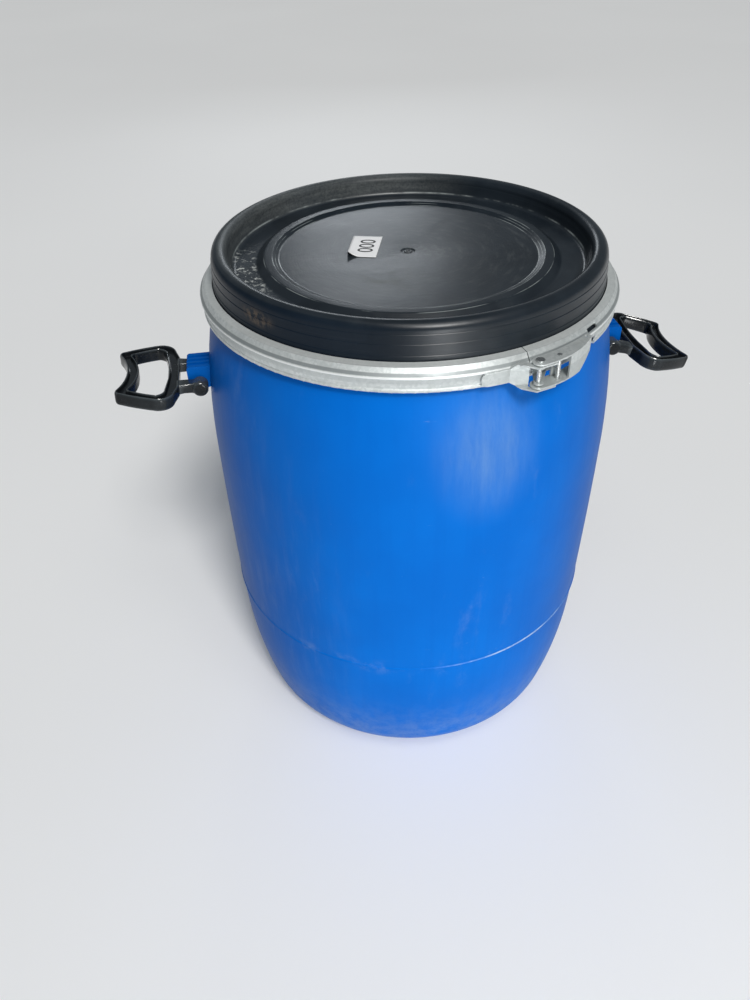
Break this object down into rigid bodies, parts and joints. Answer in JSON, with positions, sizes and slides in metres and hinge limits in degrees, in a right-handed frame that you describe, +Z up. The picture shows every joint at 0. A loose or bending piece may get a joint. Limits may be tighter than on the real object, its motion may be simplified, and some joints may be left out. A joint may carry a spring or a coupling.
{
  "type": "open-top plastic drum",
  "caption": "Open-top blow-moulded plastic drum with a moulded lid, a steel lever-lock clamp ring and swing handles.",
  "frame": {"origin": "centre of the drum's base, on the plane it stands on", "axes": "+Z up along the drum's axis, towards the lid; the two swing handles lie on +X and -X; the latch is on the -Y side, turned towards +X"},
  "size_m": [0.5689, 0.4033, 0.5392],
  "materials": {
    "body_blue": "satin blow-moulded polyethylene, slightly orange-peeled",
    "lid_black": "satin injection-moulded polyethylene with turning marks and dust",
    "handle_black": "glossy moulded",
    "galvanised": "rolled galvanised strip, brushed along the strip, with faint spangle",
    "pin_steel": "zinc plated",
    "gasket_foam": "matt foamed rubber",
    "label_paper": null
  },
  "bodies": {
    "drum": {"drum_body": "body_blue"},
    "lid_assembly": {"lid": "lid_black", "lid_gasket": "gasket_foam", "lot_label": "label_paper"},
    "clamp_ring": {"clamp_band": "galvanised", "tension_strap": "galvanised", "fulcrum_bracket": "galvanised", "fulcrum_pin": "pin_steel"},
    "lever": {"clamp_lever": "galvanised", "hook_pin": "pin_steel"},
    "left_handle": {"handle_left": "handle_black"},
    "right_handle": {"handle_right": "handle_black"}
  },
  "joints": [
    {"name": "lid_lift", "type": "slide", "parent": "drum", "child": "lid_assembly", "axis": [0, 0, 1], "range_m": [0, 0.3], "deforming": ["clamp_band"]},
    {"name": "ring_lift", "type": "slide", "parent": "lid_assembly", "child": "clamp_ring", "axis": [0, 0, 1], "range_m": [0, 0.1], "deforming": ["clamp_band"]},
    {"name": "lever_swing", "type": "hinge", "parent": "clamp_ring", "child": "lever", "pos_m": [0.06603, -0.19619, 0.497], "axis": [0, 0, -1], "range_deg": [0, 145]},
    {"name": "left_handle_swing", "type": "hinge", "parent": "drum", "child": "left_handle", "pos_m": [-0.2062, 0, 0.4144], "axis": [0, 1, 0], "range_deg": [-79.7, 75.3]},
    {"name": "right_handle_swing", "type": "hinge", "parent": "drum", "child": "right_handle", "pos_m": [0.2062, 0, 0.4144], "axis": [0, -1, 0], "range_deg": [-62.4, 92.6]}
  ]
}
